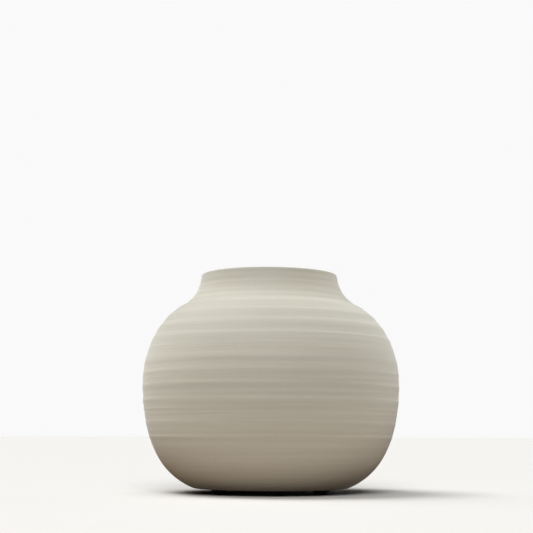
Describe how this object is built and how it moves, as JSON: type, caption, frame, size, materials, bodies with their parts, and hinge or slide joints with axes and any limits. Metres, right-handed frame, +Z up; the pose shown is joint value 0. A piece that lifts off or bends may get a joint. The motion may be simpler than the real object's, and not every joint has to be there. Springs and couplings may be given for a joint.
{
  "type": "vase",
  "caption": "Squat round stoneware vase with a short collar and a level lip, matte outside, glazed inside, standing on felt pads.",
  "frame": {"origin": "centre of the plane that the felt pads stand on", "axes": "+Z up along the vase's turning axis, -Y towards the front"},
  "size_m": [0.16, 0.16, 0.136],
  "materials": {
    "stoneware": "matte grey-beige fired clay with soft throwing rings",
    "liner_glaze": "glossy pale glaze",
    "felt": "dark pressed felt"
  },
  "bodies": {
    "root": {"stoneware_body": "stoneware", "liner_glaze": "liner_glaze", "foot_pad_1": "felt", "foot_pad_2": "felt", "foot_pad_3": "felt"}
  },
  "joints": []
}
